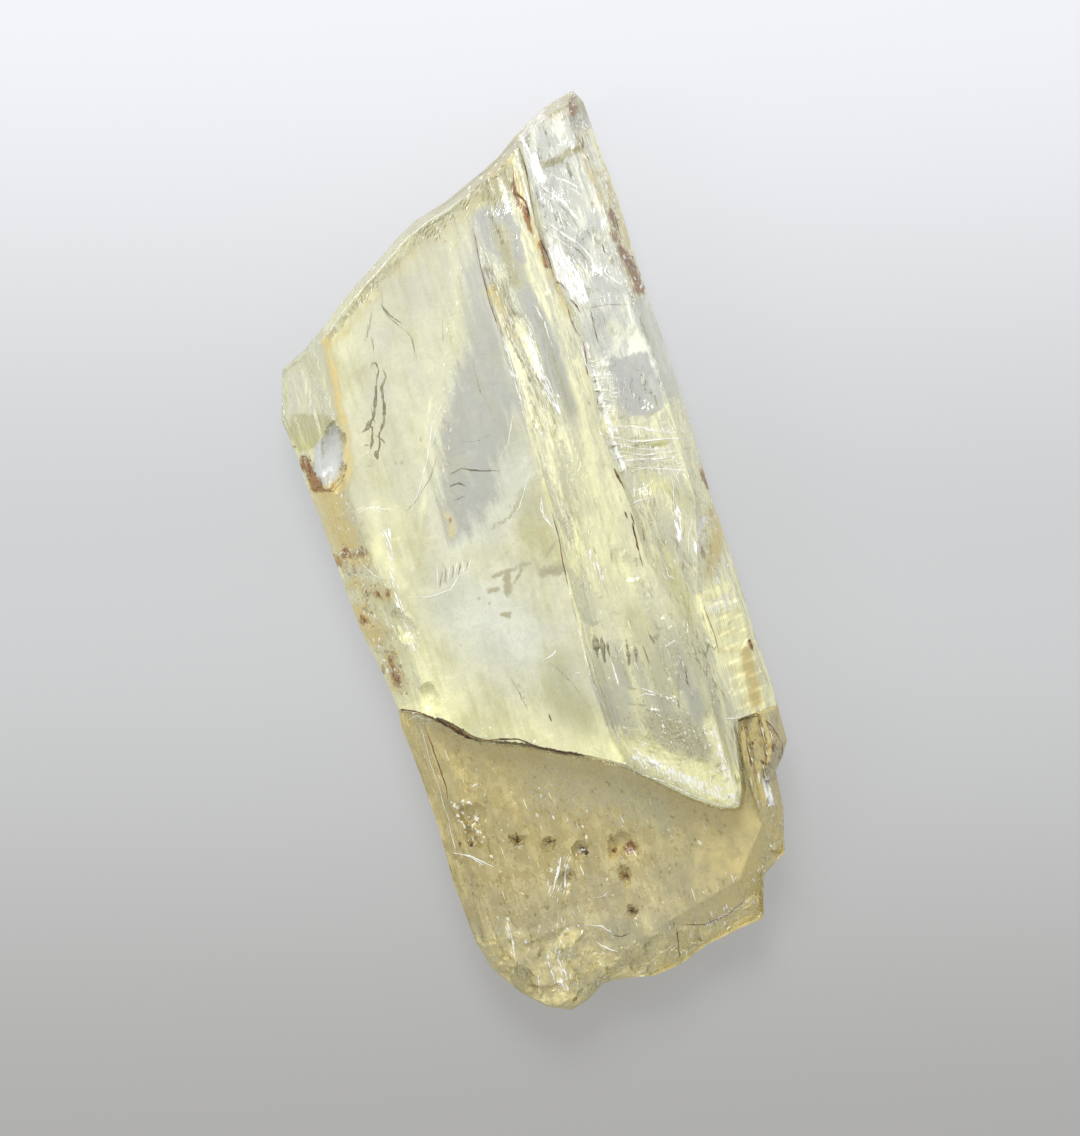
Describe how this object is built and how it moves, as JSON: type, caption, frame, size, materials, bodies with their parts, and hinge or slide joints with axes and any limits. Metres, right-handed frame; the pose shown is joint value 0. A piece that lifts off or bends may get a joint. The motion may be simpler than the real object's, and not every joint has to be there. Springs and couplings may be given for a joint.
{
  "type": "spodumene crystal",
  "caption": "Loose bladed gem crystal with a slanted tip, a long raised ridge, a ragged break to a lower shelf and a flat back to lie on.",
  "frame": {"origin": "on the resting plane, under the middle of the crystal's bounding box, with the flat back face lying on that plane", "axes": "+Y along the blade to its slanted tip, +X across the blade to the right seen from the front, +Z out of the front face"},
  "size_m": [0.0292, 0.0658, 0.0093],
  "materials": {
    "clear_crystal": "glassy pale yellow-green crystal with milky veils, brown iron stains and striated faces"
  },
  "bodies": {
    "root": {"spodumene_crystal": "clear_crystal"}
  },
  "joints": []
}
